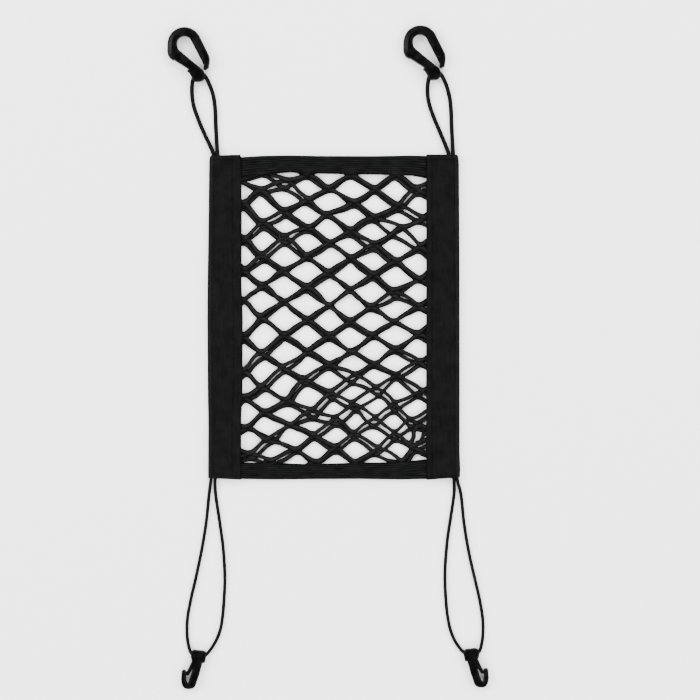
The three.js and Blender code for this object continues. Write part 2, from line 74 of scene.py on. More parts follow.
CLOTH = 1  # thickness of a binding or band
STRAND = Sizes(
    width=4.3, thickness=0.8, sides=10, step=0.7,
    braid=2.7, relief=0.08,  # length of a chevron of the braid, and how far it stands out
    ragged=0.02,  # share by which the chevrons widen it
    flat_sides=0.7, flat_top=0.6,  # its section is an oval where these are 1, and squarer below that
    uneven=0.09, uneven_length=7,  # share by which its width comes and goes, and over what length
    plumper=1,  # how much wider it is in a bend, times the bend's curvature
    inner=0.85,  # how far to the centre of a bend its inner side may reach, as a share
    roll=0.12, roll_length=9,  # how steeply it leans to either side, and over what length
    phase=1.7,  # how far these waves are on from one strand to the next
)
THINNER = Sizes(x=45, y=-90, reach=48, share=0.18)  # where the strands run singly, stretched thin
KNOT = Sizes(offset=-0.2, lift=0.3, rounding=2.6, steps=14)  # where and how roundly a strand turns at one
CURL = Sizes(height=0.35, phase=3.1)  # the loose curls above the front layer's middle
STITCH = Sizes(
    pitch=3, length=2.4, radius=0.24, sides=6, steps=5,
    taper=0.35,  # share of the radius that is lost at the ends
    dip=1.3, proud=0.5,  # how far the ends dip, and the middle stands, in radii
    drift=0.09,  # how far a stitch may be out of line
    uneven=0.0006,  # and out of step, as a share of the strip's length
    drift_phase=7.9, uneven_phase=11.3,  # how that comes and goes from stitch to stitch
)
HEM = 4.6  # depth of the hems at the ends of the bindings
HEM_SEAM = 1.3  # how far a hem's seam runs from its inner edge
HEM_SEAM_ENDS = (1.2, 0.4)  # and from the stitched edge and the fold at its ends

BAND_EDGE = 131  # how far from the middle the bands' inner edges pass under the bindings
BAND_TUCKED = 85.3  # the bands are between the leaves of the bindings further out than this
LIP = 1.5  # lowest height of a band in there
SEAM = 2.4  # how far from a binding's stitched edge its seam runs
BAND_SEAM = 2  # and a band's
TURNED_IN = {-1: 8.3, 1: 5.2}  # width of the turned edge of the left and of the right binding

# The axis that a strip runs along, the distance from the middle that parts its stitched edge from its fold,
# its steps along and across the upper leaf, and the shares of its length between which its seam runs
BINDING = Sizes(axis=1, split=100, steps=(320, 52), seam=(0.012, 0.988))
BAND = Sizes(axis=0, split=140, steps=(246, 84), seam=(0.075, 0.925))

# The tone rows are a painted highlight on the fold and painted shade in the crease, along the edges, at the
# steps of the turned edge and hem, and at the ends; tone_worn_end is wear
# What stands out of a binding's face or, where its name begins with tone, is lighter than the rest.
# Areas: amount, and where it starts and ends to fade, past the area's own edge
AREAS = {
    "hem": (0.4, -0.5, 0.6),
    "hem_end": (-0.5, 0, 0.9),
    "turned_in": (0.24, -0.4, 0.5),
    "over_band": (-0.7, -2.5, 1.5),
    "tone_edge_shade": (-0.8, 0, 1.1),
    "tone_end_shade": (-0.8, 0.2, 1.4),
}
# Lines: amount, how far past its place the line lies, and its width
LINES = {
    "seam": (-0.2, 0, 0.5),
    "hem_seam": (-0.2, -HEM_SEAM, 0.5),
    "edge_seam": (-0.12, -0.9, 0.5),
    "crease": (-0.3, -1.1, 0.6),
    "tone_fold_highlight": (0.75, 0.3, 0.9),
    "tone_crease_shade": (-0.35, -1.2, 0.6),
    "tone_turned_in_step_shade": (-0.4, 0, 0.7),
    "tone_hem_step_shade": (-0.4, 0, 0.7),
    "tone_worn_end": (0.75, 2.4, 0.9),
}
PUCKER = Sizes(height=0.12, reach=1.5)  # between the stitches of a binding's seam

# A band's ribs, and how they are bent and pressed out by the knots under the band's edge
RIB = Sizes(count=7, height=0.42, power=0.6, base=-0.3)
# PRESS's tone is a painted highlight on the ribs where the knots press them up
PRESS = Sizes(along=5.5, middle=2, across=4, bend=0.45, height=0.3, tone=0.4)
# Painted shade in the grooves, along the stitched edge and at the fold, over a base tone; stretch draws out
# the uneven patches
RIB_SHADE_AND_TONE = Sizes(base=0.4, groove=-1.5, power=0.8, edge=-0.7, fold=-0.9, stretch=0.25)

# Smooth noise: amount, size and seed
RIPPLES = {
    "sway_x": (2.4, 17, 20),
    "sway_y": (2.4, 17, 40),
    "folds": (0.28, 24, 0),
    "wrinkles": (0.12, 8, 5),
    "wear": (1.6, 3.2, 9),
    "band_folds": (0.15, 20, 3),
    "rib_drift": (0.16, 30, 8),
    "rib_patches": (0.5, 2.2, 14),
}

# The net's even pitch, and where it is pulled out of it, as in the part's source
NET = Sizes(
    column=20.7, half_row=13.4, first_column=-87, first_row=132,
    columns=10, rows=21, crowding=4, reach_x=97, reach_y=144,
)
EDGE_STRETCH = 11
EDGE_FADE = 60
# x, y, reach, dx, dy
TUGS = [
    (-75, 100, 22, 0, 6), (-85, 50, 28, 0, -5), (-65, -45, 20, 0, -3),
    (-87, -70, 15, 0, 5), (-25, -136, 45, 7, 0), (-65, -115, 25, 7, 1),
    (-25, -80, 14, 2, -4), (-5, -95, 22, 4, 2), (40, -65, 20, 4, 3),
    (10, -10, 35, 0, -2.5), (58, 104, 18, 4, -4), (79, 92, 14, 6, 1),
    (82, 42, 26, 1, -4), (60, -136, 30, 6, 0), (80, -95, 18, -8, -3),
    (84, -124, 14, -7, 1), (76, 120, 14, -7, 0), (8, 45, 22, 0, 2),
    (-85, 119, 14, -5, 2), (-46, 119, 14, 1.5, 4), (-66, 105, 12, -1.5, 3),
    (-46, 65, 12, 1.5, 3), (-4, 92, 12, -3, 1.5), (16, 105, 12, 3, -1.5),
    (58, 78, 12, 3, 4.5), (38, 8, 34, -2.5, -2), (-68, 12, 24, -1.5, 2),
    (-66, -109, 12, 4.5, 3.5), (-46, -69, 12, 2, -4.5), (-25, -56, 12, -3, 0),
    (58, -109, 12, -4, 0),
]
FRONT = -0.5  # each layer takes this share of what parts the two
BACK = 0.5
SLIP_EVERYWHERE = (0, -2)
# Where the back layer has slipped away from the front one: x, y, reach, dx, dy
SLIPS = [
    (-62, 76, 30, 2, -5), (-41, 116, 16, -5, -3), (56, 80, 20, -4, -2),
    (82, 90, 20, -1, -4), (-62, -50, 28, 5, -1), (-14, -68, 24, 4, -4),
    (-72, -122, 20, 3, -2), (20, -90, 30, 2, -6), (66, -92, 30, 1, -6),
]

# Single knots that lie elsewhere in one layer than its solid has them: column and row, and dx and dy
LOOSE_KNOTS = {
    FRONT: {
        (8, 1): (3, -1), (7, 2): (-1.5, 0), (9, 2): (0, 5), (8, 3): (0, -2.5), (5, 14): (2, 1.5),
        (4, 15): (1.5, 0), (8, 15): (5, -2), (1, 18): (-10, -4.5), (0, 19): (2, -3),
    },
    BACK: {
        (9, 0): (0, -5), (2, 1): (2, -2.5), (8, 1): (4.5, -3), (3, 2): (-1.5, -1), (7, 2): (-1.5, 0),
        (8, 3): (-6, -1), (1, 4): (-1, -1), (5, 4): (-3, -3), (7, 4): (-7, -4.5), (0, 5): (0, -2),
        (2, 5): (-1.5, -1.5), (6, 5): (0, -1.5), (1, 6): (0, -1.5), (7, 8): (2, -3),
        (5, 14): (-2, -1.5), (4, 15): (0, -1.5), (6, 15): (1.5, -1.5), (3, 16): (-1, -2.5),
        (4, 17): (0, -1.5), (6, 17): (-2.5, -1), (1, 18): (-2, -3), (5, 18): (-1.5, 1),
        (0, 19): (3, -4.5), (2, 19): (2, -2), (6, 19): (-2, -2.5), (1, 20): (1.5, 0),
    },
}

# Loose ends of strands that curl up beside the right binding: x, y
LOOPS = [
    [(68, -119), (72, -115.5), (74, -111), (74.5, -106), (77, -102), (81, -100.5), (85, -102), (92, -103)],
    [(70, -121), (75, -119), (79.5, -116.5), (82, -112.5), (83.5, -109), (87, -107.5), (93, -109)],
    [(76, -117), (80, -115.5), (84, -114), (88, -114.5), (93, -117)],
]

# The cords' routes, as in the part's source: from the binding, through the hook, and back: x, y, z
UPPER_CORD = 3.3
LOWER_CORD = 2.5
CORD_TOP_LEFT = [
    (-111.5, 143, 3.1), (-111.4, 147.2, 3.1), (-111.9, 151.6, 2.9), (-114.6, 158.2, 2.1),
    (-119.6, 168.9, 1.7), (-125.8, 183.3, 1.7), (-130.5, 197.3, 1.7), (-132, 209.7, 2.3),
    (-131.3, 218.2, 3.7), (-129, 224.4, 4.3), (-124.6, 227.3, 4.3), (-119.9, 224, 4.3),
    (-115.6, 216.2, 3.4), (-112, 205.4, 2), (-110.3, 192.6, 1.7), (-109.7, 176.8, 1.7),
    (-108.9, 162, 1.9), (-108.3, 153.6, 2.9), (-107.8, 147.4, 3.1), (-107.8, 143, 3.1),
]
CORD_TOP_RIGHT = [
    (107.4, 143, 3.1), (107.3, 147.2, 3.1), (106.7, 151.6, 3), (104.3, 158.6, 2.1),
    (99.2, 170.8, 1.7), (92.8, 186.1, 1.7), (88.2, 200.1, 1.7), (87, 211.7, 2.3),
    (87.8, 219.8, 3.7), (90.1, 226, 4.3), (94.5, 228.9, 4.3), (99.2, 225.6, 4.3),
    (103.6, 217.8, 3.4), (107.5, 205, 2), (108.9, 192.6, 1.7), (109.5, 176.8, 1.7),
    (110.3, 162, 1.9), (110.8, 153.6, 3), (111, 147.4, 3.1), (111, 143, 3.1),
]
CORD_BOTTOM_LEFT = [
    (-114.1, -142.5, 3.1), (-114.1, -147.4, 3.1), (-114.4, -152.2, 2.8), (-115.8, -162.3, 1.6),
    (-118.7, -190.5, 1.3), (-122.6, -214.7, 1.3), (-128.4, -242.6, 1.3), (-132.8, -261.6, 1.3),
    (-136.1, -279.8, 1.3), (-136.6, -291.9, 1.4), (-135.6, -303, 2), (-132.3, -312.6, 3),
    (-125.6, -317.6, 3.2), (-118.3, -313.2, 3), (-110.9, -303.2, 2), (-106, -291.9, 1.4),
    (-103.7, -279.8, 1.3), (-102.1, -261.6, 1.3), (-101.4, -241.7, 1.3), (-103, -214.7, 1.3),
    (-106.2, -190.5, 1.3), (-110, -164.1, 1.6), (-110.6, -152.2, 2.8), (-110.4, -147.4, 3.1),
    (-110.4, -142.5, 3.1),
]
CORD_BOTTOM_RIGHT = [
    (111.3, -142, 3.1), (111.3, -147, 3.1), (111.6, -152.2, 2.8), (111.8, -163.1, 1.6),
    (109.2, -182.7, 1.3), (105.7, -205.8, 1.3), (103.6, -230.5, 1.3), (103.3, -244.5, 1.3),
    (104.2, -263.1, 1.3), (106, -279.8, 1.3), (109.4, -293.8, 1.4), (114.9, -304.8, 2),
    (122, -312.6, 3), (129.1, -315.6, 3.2), (135.3, -310.2, 3), (137.6, -302.9, 2),
    (138.7, -292.2, 1.4), (138.3, -279.8, 1.3), (135.3, -261.6, 1.3), (130.9, -242.6, 1.3),
    (125.3, -217.5, 1.3), (120.9, -190.5, 1.3), (117.9, -163.1, 1.6), (115.2, -153.4, 2.8),
    (114.3, -147, 3.1), (114.3, -142, 3.1),
]


# ---- Camera, floor and light ----

def add(name, data):
    thing = bpy.data.objects.new(name, data)
    bpy.context.scene.collection.objects.link(thing)
    return thing


def camera():
    data = bpy.data.cameras.new("camera")
    data.lens = CAMERA_LENS
    data.sensor_width = 36
    data.clip_end = 100
    eye = add("camera", data)
    eye.location = (CAMERA_AIM[0] * MM, CAMERA_AIM[1] * MM, CAMERA_HEIGHT * MM)
    bpy.context.scene.camera = eye


def floor():
    half = FLOOR_SIZE / 2 * MM
    mesh = bpy.data.meshes.new("floor")
    corners = [(-half, -half, 0), (half, -half, 0), (half, half, 0), (-half, half, 0)]
    mesh.from_pydata(corners, [], [(0, 1, 2, 3)])
    material = bpy.data.materials.new("floor")
    material.use_nodes = True
    shader = material.node_tree.nodes["Principled BSDF"]
    shader.inputs["Base Color"].default_value = (FLOOR_GREY, FLOOR_GREY, FLOOR_GREY, 1)
    shader.inputs["Roughness"].default_value = 1
    shader.inputs["Specular IOR Level"].default_value = 0
    mesh.materials.append(material)
    add("floor", mesh)


def softbox(name, place, power):
    data = bpy.data.lights.new(name, "AREA")
    data.shape = "SQUARE"
    data.size = SOFTBOX_SIZE
    data.energy = power
    lamp = add(name, data)
    lamp.location = place
    lamp.rotation_euler = (-Vector(place)).to_track_quat("-Z", "Y").to_euler()


def studio():
    """Soft light from all sides and little from straight above, so that dark tops stay dark."""
    world = bpy.data.worlds.new("studio")
    world.use_nodes = True
    sky = world.node_tree.nodes["Background"]
    sky.inputs["Color"].default_value = (1, 1, 1, 1)
    sky.inputs["Strength"].default_value = SKY
    bpy.context.scene.world = world
    for name, x, y, z, power in SOFTBOXES:
        softbox(name, (x, y, z), power)


# ---- Meshes ----

def mesh_piece(name, corners, faces, uv, material, tones=None):
    """A smooth-shaded piece. corners and uv are in millimetres, and tones is how light each corner is,
    from -1 to 1: on the strips mostly painted shade and highlight, with some uneven patches and wear."""
    mesh = bpy.data.meshes.new(name)
    mesh.from_pydata((corners * MM).tolist(), [], faces)
    mesh.validate()
    mesh.shade_smooth()
    layer = mesh.uv_layers.new(name="weave")
    loops = np.zeros(len(mesh.loops), np.int32)
    mesh.loops.foreach_get("vertex_index", loops)
    layer.data.foreach_set("uv", (uv[loops] * MM).ravel())
    if tones is not None:
        tone = mesh.attributes.new("tone", "FLOAT", "POINT")
        tone.data.foreach_set("value", tones)
    mesh.materials.append(material)
    piece = add(name, mesh)
    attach(piece, "root")
    return piece


class Parts:
    """Several closed sweeps gathered into the corners and faces of one mesh."""

    def __init__(self):
        self.corners = []
        self.faces = []
        self.uv = []
        self.tones = None
        self.count = 0

    def sweep(self, rings, along, across):
        """rings is an array of sections of equal corners. The two ends are closed."""
        steps, sides = rings.shape[:2]
        grid = np.arange(steps * sides).reshape(steps, sides) + self.count
        a = grid[:-1]
        b = np.roll(grid, -1, axis=1)[:-1]
        c = np.roll(grid, -1, axis=1)[1:]
        d = grid[1:]
        self.faces += np.stack([a, b, c, d], -1).reshape(-1, 4).tolist()
        self.faces.append(grid[0][::-1].tolist())
        self.faces.append(grid[-1].tolist())
        self.corners.append(rings.reshape(-1, 3))
        self.uv.append(np.stack([np.repeat(along, sides), np.tile(across, steps)], -1))
        self.count += steps * sides

    def close_as_band(self, steps, outer_upper, inner_upper):
        """Closes the ends of a sweep whose section is a U, by strips between its outside and its inside.
        outer_upper and inner_upper are the corners that the upper leaf has on each."""
        del self.faces[-2:]
        size = self.count // steps
        inside = [size - 1 - k for k in range(size)]
        upper = [0] + inside[:inner_upper + 1] + list(range(outer_upper, 0, -1))
        end = [upper]
        for k in range((size - outer_upper - inner_upper) // 2 - 1):
            near, far = inside[inner_upper + k], inside[inner_upper + k + 1]
            end.append([outer_upper + k, near, far, outer_upper + k + 1])
        last = (steps - 1) * size
        self.faces += end + [[last + k for k in reversed(face)] for face in end]

    def piece(self, name, material, slot):
        corners = np.concatenate(self.corners)
        uv = np.concatenate(self.uv)
        return mesh_piece(name, corners, self.faces, uv, material, self.tones)


def run_along(points):
    """How far along a row of points each of them is."""
    return np.concatenate([[0], np.cumsum(np.linalg.norm(np.diff(points, axis=0), axis=1))])


def evened(points, step):
    """The line through some points in even steps, and how far along it each step is."""
    run = run_along(points)
    even = np.linspace(0, run[-1], int(run[-1] / step) + 1)
    return np.stack([np.interp(even, run, points[:, k]) for k in range(3)], -1), even


def units(vectors):
    return vectors / np.linalg.norm(vectors, axis=1)[:, None]


def signed_power(value, exponent):
    """value to a power, with its sign kept."""
    return np.sign(value) * np.abs(value) ** exponent


def smoothstep(value, start, end):
    t = np.clip((value - start) / (end - start), 0, 1)
    return t * t * (3 - 2 * t)


def bell(value, middle, width):
    return np.exp(-((value - middle) / width) ** 2)


def ripple(name, x, y, shift=0):
    """Smooth noise by a row of RIPPLES, with shift added to its seed."""
    amount, size, seed = RIPPLES[name]
    flat_x, flat_y = np.broadcast_arrays(x, y)
    pairs = zip(flat_x.ravel(), flat_y.ravel())
    values = [noise.noise(Vector((a / size, b / size, seed + shift))) for a, b in pairs]
    return amount * np.array(values).reshape(flat_x.shape)


# ---- Cords ----

SPLINE_STEPS = 24  # between two points of a route


def hermite(p1, m1, p2, m2, t):
    """The point at a share t of the curve from p1 to p2 that leaves along m1 and arrives along m2."""
    h = (2 * t ** 3 - 3 * t ** 2 + 1, t ** 3 - 2 * t ** 2 + t, 3 * t ** 2 - 2 * t ** 3, t ** 3 - t ** 2)
    return h[0] * p1 + h[1] * m1 + h[2] * p2 + h[3] * m2


def smooth_route(points, step):
    """A centripetal Catmull-Rom curve through the points, in even steps."""
    p = np.array(points, float)
    p = np.concatenate([[2 * p[0] - p[1]], p, [2 * p[-1] - p[-2]]])
    fine = []
    for i in range(1, len(p) - 2):
        p0, p1, p2, p3 = p[i - 1:i + 3]
        spans = ((p0, p1), (p1, p2), (p2, p3))
        t0, t1, t2 = (max(np.linalg.norm(b - a), 1e-6) ** 0.5 for a, b in spans)
        m1 = ((p1 - p0) / t0 - (p2 - p0) / (t0 + t1) + (p2 - p1) / t1) * t1
        m2 = ((p2 - p1) / t1 - (p3 - p1) / (t1 + t2) + (p3 - p2) / t2) * t1
        fine += [hermite(p1, m1, p2, m2, t) for t in np.linspace(0, 1, SPLINE_STEPS, endpoint=False)]
    return evened(np.array(fine + [p[-2]]), step)


CORD_SIDES = 16
CORD_STEP = 0.5
BRAID_TURN = 5.2  # length in which a strand of the cord's cover goes round it once
BRAID_STRANDS = 4
BRAID_RELIEF = 0.04  # share of the radius
COVER = 0.4  # thickness of the woven cover round the solid inside it


def braided_tube(centre, run, diameter):
    """Rings round a centreline, the crossed strands of a braided cover standing out a little."""
    tangent = units(np.gradient(centre, axis=0))
    side = units(np.cross((0, 0, 1.0), tangent))
    top = np.cross(tangent, side)
    angle = np.linspace(0, 2 * math.pi, CORD_SIDES, endpoint=False)
    turn = 2 * math.pi * run[:, None] / BRAID_TURN
    crossed = np.cos(BRAID_STRANDS * angle + turn * 2) * np.cos(BRAID_STRANDS * angle - turn * 2)
    radius = diameter / 2 * (1 - BRAID_RELIEF + BRAID_RELIEF * crossed)
    offset = np.cos(angle)[None, :, None] * side[:, None] + np.sin(angle)[None, :, None] * top[:, None]
    return centre[:, None] + radius[..., None] * offset, angle * diameter / 2


def cord(name, route, diameter, material):
    centre, run = smooth_route(route, CORD_STEP)
    diameter += 2 * COVER
    centre[:, 2] = np.maximum(centre[:, 2], diameter / 2)
    rings, around = braided_tube(centre, run, diameter)
    tube = Parts()
    tube.sweep(rings, run, around)
    piece = tube.piece(name + "_braided", material, "cord")
    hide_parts(name)


# ---- Net ----

def pulled(table, x, y):
    """How far a table's rows pull a point: each in full at its own place, and less further away."""
    dx = 0
    dy = 0
    for middle_x, middle_y, reach, pull_x, pull_y in table:
        share = math.exp(-((x - middle_x) ** 2 + (y - middle_y) ** 2) / reach ** 2)
        dx += pull_x * share
        dy += pull_y * share
    return dx, dy


def knot(column, row, side):
    """The middle of a knot in the layer on this side."""
    x = NET.first_column + column * NET.column + (NET.crowding if column < 1 else 0)
    y = NET.first_row - row * NET.half_row
    fade = math.exp(-(x - NET.first_column) / EDGE_FADE)
    stretch = EDGE_STRETCH * fade * math.sin(2 * math.pi * row / (NET.rows - 1))
    tug = pulled(TUGS, x, y)
    slip = pulled(SLIPS, x, y)
    loose = LOOSE_KNOTS[side].get((column, row), (0, 0))
    return (
        x + tug[0] + side * (slip[0] + SLIP_EVERYWHERE[0]) + loose[0],
        y + stretch + tug[1] + side * (slip[1] + SLIP_EVERYWHERE[1]) + loose[1],
    )


def rounded_turns(points):
    """The points with their corners rounded off, each by a weighted mean of those near it."""
    near = KNOT.steps
    reach = np.arange(-near, near + 1) * STRAND.step
    weights = np.exp(-0.5 * (reach / KNOT.rounding) ** 2)
    weights /= weights.sum()
    before = 2 * points[0] - points[near:0:-1]
    after = 2 * points[-1] - points[-2:-2 - near:-1]
    padded = np.concatenate([before, points, after])
    return np.stack([np.convolve(padded[:, k], weights, "valid") for k in range(3)], -1)


def strand_route(row, side):
    """The middle line of the strand that waves between one row of knots and the next."""
    turns = []
    for column in range(-1, NET.columns + 1):
        at_top = (column + row) % 2 != 0
        x, y = knot(column, row if at_top else row + 1, side)
        way = -1 if at_top else 1
        turns.append((x, y + way * KNOT.offset, way * KNOT.lift))
    points = rounded_turns(evened(np.array(turns), STRAND.step)[0])
    points[:, 0] += ripple("sway_x", points[:, 0], points[:, 1], side)
    points[:, 1] += ripple("sway_y", points[:, 0], points[:, 1], side)
    points = points[np.abs(points[:, 0]) < NET.reach_x]
    points[:, 1] = np.clip(points[:, 1], -NET.reach_y, NET.reach_y)
    return points


def strand_spread(points, run, bend, seed):
    """How wide a strand is at each of its points, as a share of the usual width."""
    from_middle = np.hypot(points[:, 0] - THINNER.x, points[:, 1] - THINNER.y)
    thinner = THINNER.share * bell(from_middle, 0, THINNER.reach)
    uneven = STRAND.uneven * np.sin(run / STRAND.uneven_length + seed)
    return 1 + uneven + STRAND.plumper * np.abs(bend) - thinner


def clear_of_centre(flat, bend):
    """The distances across a strand, cut short where its inner side would fold over itself in a bend."""
    tight = flat * bend > STRAND.inner
    return np.where(tight, STRAND.inner / np.where(tight, bend, 1), flat)


def tape_rings(points, height, seed):
    """Sections of a flat braid along the points, its chevrons standing out a little."""
    tangent = units(np.gradient(points[:, :2], axis=0))
    run = run_along(points[:, :2])
    turning = np.gradient(tangent, axis=0)
    bend = (tangent[:, 0] * turning[:, 1] - tangent[:, 1] * turning[:, 0]) / np.gradient(run)
    sides = STRAND.sides
    angle = np.linspace(0, 2 * math.pi, sides, endpoint=False) + math.pi / sides
    across = signed_power(np.cos(angle), STRAND.flat_sides)
    above = signed_power(np.sin(angle), STRAND.flat_top)
    chevron = np.sin(2 * math.pi * (run[:, None] / STRAND.braid + 0.5 * np.abs(across)) + seed)
    spread = strand_spread(points, run, bend, seed)[:, None]
    flat = across * (STRAND.width / 2 * (spread + STRAND.ragged * chevron))
    roll = STRAND.roll * np.sin(run / STRAND.roll_length + 2 * seed)[:, None]
    tall = above * (STRAND.thickness / 2 + STRAND.relief * chevron) + flat * roll
    flat = clear_of_centre(flat, bend[:, None])
    rings = np.empty(flat.shape + (3,))
    rings[..., 0] = points[:, 0, None] - tangent[:, 1, None] * flat
    rings[..., 1] = points[:, 1, None] + tangent[:, 0, None] * flat
    rings[..., 2] = height + points[:, 2, None] + tall
    return rings, run, across * STRAND.width / 2


def loop_route(loop):
    points = smooth_route([(x, y, CURL.height) for x, y in loop], STRAND.step)[0]
    return points[np.abs(points[:, 0]) < NET.reach_x]


def net_layer(node, side, material):
    low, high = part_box(node)
    height = (low.z + high.z) / 2 / MM
    routes = [(strand_route(row, side), STRAND.phase * row + side) for row in range(-1, NET.rows)]
    if side == FRONT:
        routes += [(loop_route(loop), CURL.phase * i) for i, loop in enumerate(LOOPS)]
    strands = Parts()
    for points, seed in routes:
        rings, run, across = tape_rings(points, height, seed)
        strands.sweep(rings, run, across)
    piece = strands.piece(node + "_strands", material, "net")
    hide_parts(node)


# ---- Bindings and bands ----

def cad_corners(node):
    return np.array([corner.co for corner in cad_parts[node].data.vertices]) / MM


NEAR = 0.5  # two corners of a CAD strip that are nearer than this count as one
LEVEL = 0.05  # and those that differ less than this in height as level


def outermost_rows(rows, way):
    """The rows without those that have another beside them further out, or further in where way is -1."""
    kept = [not np.any((np.abs(rows[:, 0] - a) < NEAR) & (way * (rows[:, 1] - b) > NEAR)) for a, b in rows]
    return rows[np.array(kept)]


def strip_edges(node, axis, split):
    """The folded and the stitched edge of a CAD strip, as rows of (along, across) in order."""
    corners = cad_corners(node)
    height = corners[:, 2].max()
    rows = np.stack([corners[:, axis], np.abs(corners[:, 1 - axis])], -1).round(2)
    at_fold = (np.abs(corners[:, 2] - height / 2) < LEVEL) & (rows[:, 1] > split)
    at_edge = (corners[:, 2] > height - LEVEL) & (rows[:, 1] < split)
    fold = outermost_rows(np.unique(rows[at_fold], axis=0), 1)
    edge = outermost_rows(np.unique(rows[at_edge], axis=0), -1)
    return fold, edge, height


UNDER = np.linspace(1, 0, 8)  # where a strip's lower leaf, which is plain, has its corners
INNER = np.linspace(0, 1, 8)  # and the inner face of its upper leaf
TURN = np.linspace(math.pi / 2, -math.pi / 2, 15)[1:-1]  # and its fold
EDGE_ROUNDING = 0.28  # how far the two faces draw together at the cut edges


class Strip:
    """A strip folded over along its outer side, between the two edges that its CAD solid has.

    relief gives how far the upper leaf's face stands out at (along, distance from the stitched edge, width),
    and tone how light it is there, from -1 to 1. Further along than tucked the lower leaf is cut away, so
    that the end fits between the leaves of another strip."""

    def __init__(self, node, side, kind, relief, tone, tucked=None):
        self.node = node
        self.side = side
        self.axis = kind.axis
        self.steps = kind.steps
        self.relief = relief
        self.tone = tone
        self.tucked = tucked
        fold, edge, self.height = strip_edges(node, self.axis, kind.split)
        if tucked is not None:
            fold = np.concatenate([[[edge[0, 0], fold[0, 1]]], fold, [[edge[-1, 0], fold[-1, 1]]]])
        self.fold = fold
        self.edge = edge
        self.length = np.ptp(fold[:, 0])
        self.outer = self.height / 2

    def lines(self, share):
        """Where the stitched edge and the fold are at a share of the length, and the upper leaf's width."""
        def spread(rows):
            shares = (rows[:, 0] - rows[0, 0]) / np.ptp(rows[:, 0])
            return np.interp(share, shares, rows[:, 0]), np.interp(share, shares, rows[:, 1])

        edge_along, edge_out = spread(self.edge)
        fold_along, fold_out = spread(self.fold)
        return edge_along, edge_out, fold_along, fold_out, fold_out - self.outer - edge_out

    def place(self, along, across, up):
        if self.axis == 1:
            return np.stack([self.side * across, along, up], -1)
        return np.stack([along, self.side * across, up], -1)

    def point(self, share, distance, lift):
        """The point of the upper face at a share of the length and a distance from the stitched edge."""
        edge_along, edge_out, fold_along, fold_out, width = self.lines(share)
        blend = distance / (fold_out - edge_out)
        along = edge_along * (1 - blend) + fold_along * blend
        up = self.height + self.relief(fold_along, np.array([distance]), width)[0] + lift
        return self.place(along, edge_out + distance, up)

    def face(self, lines, leaf, inset):
        """The outer face, or one inset from it, in sections of (across, up) that go round the fold."""
        _, edge_out, fold_along, fold_out, width = lines
        radius = self.outer - inset
        lip = EDGE_ROUNDING * (1 if inset else -1)
        rows = []
        for i in range(len(width)):
            raised = np.zeros(len(leaf))
            if not inset:
                raised = self.relief(fold_along[i], leaf * width[i], width[i])
            bent = radius + raised[-1] * np.clip(np.sin(TURN), 0, 1)
            upper = np.stack([edge_out[i] + leaf * width[i], self.outer + radius + raised], -1)
            centre = fold_out[i] - self.outer
            fold = np.stack([centre + bent * np.cos(TURN), self.outer + bent * np.sin(TURN)], -1)
            bottom = np.full(len(UNDER), self.outer - radius)
            lower = np.stack([edge_out[i] + UNDER * width[i], bottom], -1)
            rows.append(np.concatenate([upper, fold, lower]))
            rows[-1][0, 1] += lip
            rows[-1][-1, 1] -= lip
        return np.array(rows)

    def cut_away(self, section, fold_along, centre, outside_size):
        """Draws the lower leaf in under the fold where the strip is tucked into another."""
        lowest = np.full(section.shape[1], LIP + CLOTH)
        lowest[:outside_size] = LIP
        hidden = np.abs(fold_along) > self.tucked
        cut = hidden[:, None] & (section[..., 1] < self.outer)
        section[..., 0] = np.where(cut, np.maximum(section[..., 0], centre[:, None]), section[..., 0])
        section[..., 1] = np.where(cut, np.maximum(section[..., 1], lowest), section[..., 1])

    def around(self, leaf, width):
        """How far round a section its corners are, where the upper leaf has this width."""
        arc = width + (math.pi / 2 - TURN) * self.outer
        lower = arc[-1] + (1 - UNDER) * width
        outside = [leaf * width, arc, lower]
        return np.concatenate(outside + [lower[::-1], arc[::-1], INNER[::-1] * width])

    def tones(self, lines, leaf, outside_size, size):
        """How light the corners are: the fold and the lower leaf are as the upper leaf is at the fold."""
        fold_along, width = lines[2], lines[4]
        tones = np.zeros((len(width), size))
        for i in range(len(width)):
            tones[i, :len(leaf)] = self.tone(fold_along[i], leaf * width[i], width[i])
            tones[i, len(leaf):outside_size] = tones[i, len(leaf) - 1]
        return tones.ravel().astype(np.float32)

    def piece(self, name, material, slot):
        steps, leaf_steps = self.steps
        share = np.linspace(0, 1, steps)
        lines = self.lines(share)
        edge_along, edge_out, fold_along, fold_out, width = lines
        leaf = np.linspace(0, 1, leaf_steps)
        outside = self.face(lines, leaf, 0)
        inside = self.face(lines, INNER, CLOTH)
        section = np.concatenate([outside, inside[:, ::-1]], axis=1)
        if self.tucked is not None:
            self.cut_away(section, fold_along, fold_out - self.outer, outside.shape[1])
        blend = np.clip((section[..., 0] - edge_out[:, None]) / (fold_out - edge_out)[:, None], 0, 1)
        along = edge_along[:, None] * (1 - blend) + fold_along[:, None] * blend
        rings = self.place(along, section[..., 0], section[..., 1])
        strip = Parts()
        strip.sweep(rings, share * self.length, self.around(leaf, float(width.mean())))
        strip.tones = self.tones(lines, leaf, outside.shape[1], section.shape[1])
        strip.close_as_band(steps, leaf_steps, len(INNER))
        piece = strip.piece(name, material, slot)
        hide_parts(self.node)
        return piece


def area(name, distance, edge=0):
    amount, start, end = AREAS[name]
    return amount * (1 - smoothstep(distance, edge + start, edge + end))


def line(name, distance, place=0):
    amount, past, width = LINES[name]
    return amount * bell(distance, place + past, width)


